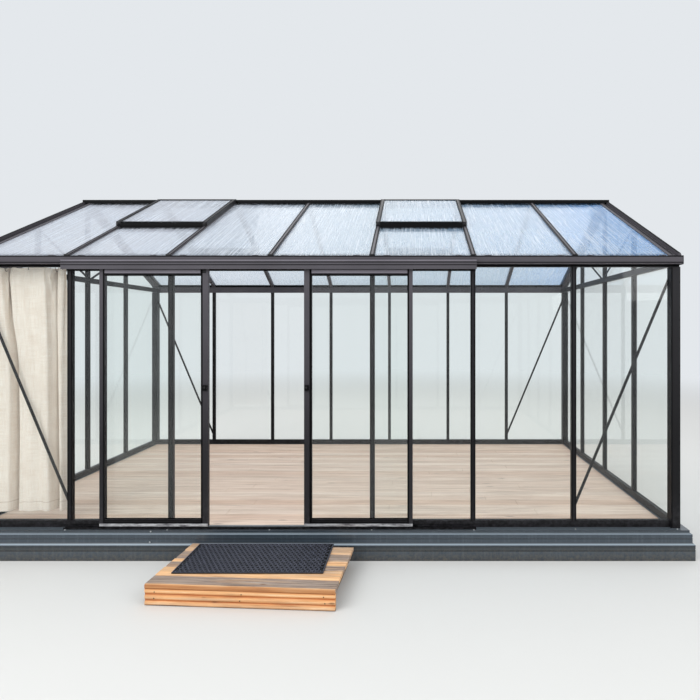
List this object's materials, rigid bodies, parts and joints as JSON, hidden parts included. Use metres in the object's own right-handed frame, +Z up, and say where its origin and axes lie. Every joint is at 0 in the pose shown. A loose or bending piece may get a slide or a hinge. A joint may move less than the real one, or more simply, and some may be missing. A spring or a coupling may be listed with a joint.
{
  "type": "glass greenhouse",
  "caption": "Free-standing glass greenhouse with a pitched roof, roof vents, a dark metal frame on a steel base, a boarded floor and a pair of sliding doors.",
  "frame": {"origin": "on the ground at the middle of the glazed plan, under the middle floor joist", "axes": "+X along the length, to the right seen from the door side; the door side faces -Y; +Z up"},
  "size_m": [5.285, 3.8156, 2.8964],
  "materials": {
    "anthracite_frame": "satin anthracite powder coat",
    "blue_grey_base": "satin blue-grey powder coat",
    "clear_glass": "clear toughened glass",
    "roof_glass": "toughened glass, rain-streaked",
    "floor_boards": "bleached boards",
    "joist_timber": "rough sawn",
    "step_timber": "weathered reeded",
    "black_rubber": "matt",
    "black_plastic": "matt",
    "cream_cloth": "woven"
  },
  "bodies": {
    "greenhouse": {"base_front_left": "blue_grey_base", "base_front_right": "blue_grey_base", "base_rear": "blue_grey_base", "base_left": "blue_grey_base", "base_right": "blue_grey_base", "floor": "floor_boards", "floor_joists": "joist_timber", "sill_front": "anthracite_frame", "sill_rear": "anthracite_frame", "gable_sills": "anthracite_frame", "corner_posts": "anthracite_frame", "front_wall_bars": "anthracite_frame", "rear_wall_bars": "anthracite_frame", "gable_bars": "anthracite_frame", "gutter_front": "anthracite_frame", "gutter_rear": "anthracite_frame", "gable_ties": "anthracite_frame", "gable_struts": "anthracite_frame", "verge_bars": "anthracite_frame", "roof_bars_front": "anthracite_frame", "roof_bars_rear": "anthracite_frame", "ridge": "anthracite_frame", "eave_seals": "black_rubber", "wall_braces": "anthracite_frame", "front_wall_glass": "clear_glass", "rear_wall_glass": "clear_glass", "gable_glass": "clear_glass", "front_roof_glass": "roof_glass", "rear_roof_glass": "roof_glass", "vent_sills": "anthracite_frame", "vent_side_bars": "anthracite_frame", "vent_rails": "anthracite_frame", "vent_glass": "roof_glass", "door_head_track": "anthracite_frame", "door_bottom_track": "anthracite_frame", "doorstep_deck": "step_timber", "doorstep_fascia": "step_timber", "doorstep_bearers": "step_timber", "doorstep_mat": "black_rubber", "curtain_rod": "black_plastic", "curtain": "cream_cloth"},
    "door_left": {"door_left_stiles": "anthracite_frame", "door_left_rails": "anthracite_frame", "door_left_glass": "clear_glass", "door_left_handle": "anthracite_frame", "door_left_rollers": "black_plastic"},
    "door_right": {"door_right_stiles": "anthracite_frame", "door_right_rails": "anthracite_frame", "door_right_glass": "clear_glass", "door_right_handle": "anthracite_frame", "door_right_rollers": "black_plastic"}
  },
  "joints": [
    {"name": "door_left_slide", "type": "slide", "parent": "greenhouse", "child": "door_left", "axis": [-1, 0, 0], "range_m": [-0.435, 0.248]},
    {"name": "door_right_slide", "type": "slide", "parent": "greenhouse", "child": "door_right", "axis": [1, 0, 0], "range_m": [-0.241, 0.442]}
  ]
}
